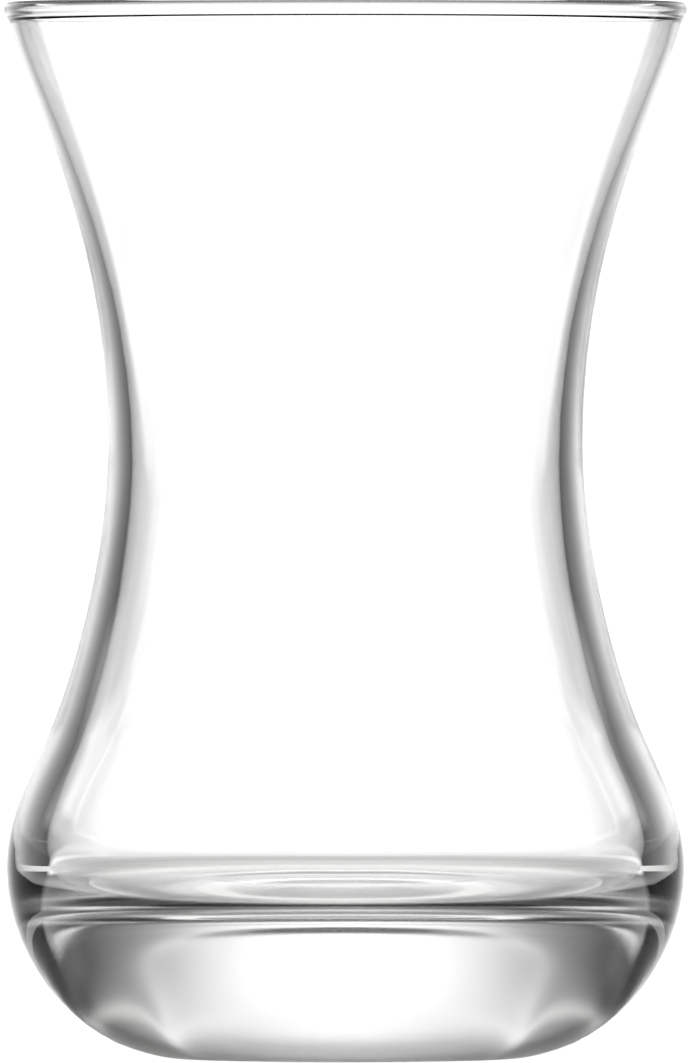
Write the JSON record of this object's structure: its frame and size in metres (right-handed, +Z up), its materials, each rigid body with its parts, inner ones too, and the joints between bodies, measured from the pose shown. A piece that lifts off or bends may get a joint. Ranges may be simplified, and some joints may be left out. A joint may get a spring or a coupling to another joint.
{
  "type": "tea glass",
  "caption": "Empty clear tea glass with a flared rounded rim, narrow waist, round belly and thick solid base, standing on a small flat foot ring.",
  "frame": {"origin": "centre of the foot ring, on the plane the glass stands on", "axes": "+Z up along the axis of the glass, from the foot to the mouth; the shape is the same all round, so +X and +Y are free"},
  "size_m": [0.0582, 0.0582, 0.09],
  "materials": {
    "clear_glass": "clear pressed soda-lime glass, fire-polished, smooth and glossy, very faintly grey in thick parts"
  },
  "bodies": {
    "root": {"tea_glass": "clear_glass"}
  },
  "joints": []
}
